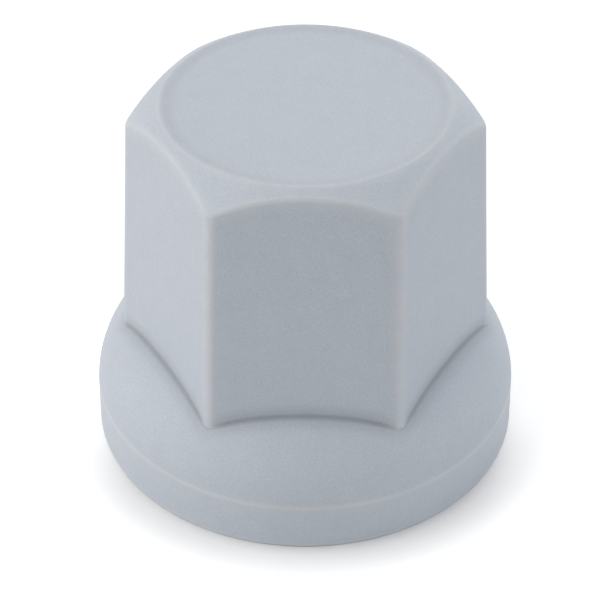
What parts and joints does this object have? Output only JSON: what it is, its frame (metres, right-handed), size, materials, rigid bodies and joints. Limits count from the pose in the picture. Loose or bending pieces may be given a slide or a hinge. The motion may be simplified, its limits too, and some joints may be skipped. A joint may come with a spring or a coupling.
{
  "type": "lug nut cap",
  "caption": "Push-on cap for a truck wheel nut: tapered hexagonal shell with a shallow domed crown and a bell-shaped flange that hides the nut's washer.",
  "frame": {"origin": "centre of the round rim, in the plane that the rim stands on", "axes": "+Z along the cap's axis from the rim to the crown; two of the six flats face +Y and -Y, and two upright edges lie on +X and -X"},
  "size_m": [0.051, 0.051, 0.0445],
  "materials": {
    "grey_plastic": "fine matt moulded grain, plain cool grey"
  },
  "bodies": {
    "root": {"nut_cap": "grey_plastic"}
  },
  "joints": []
}
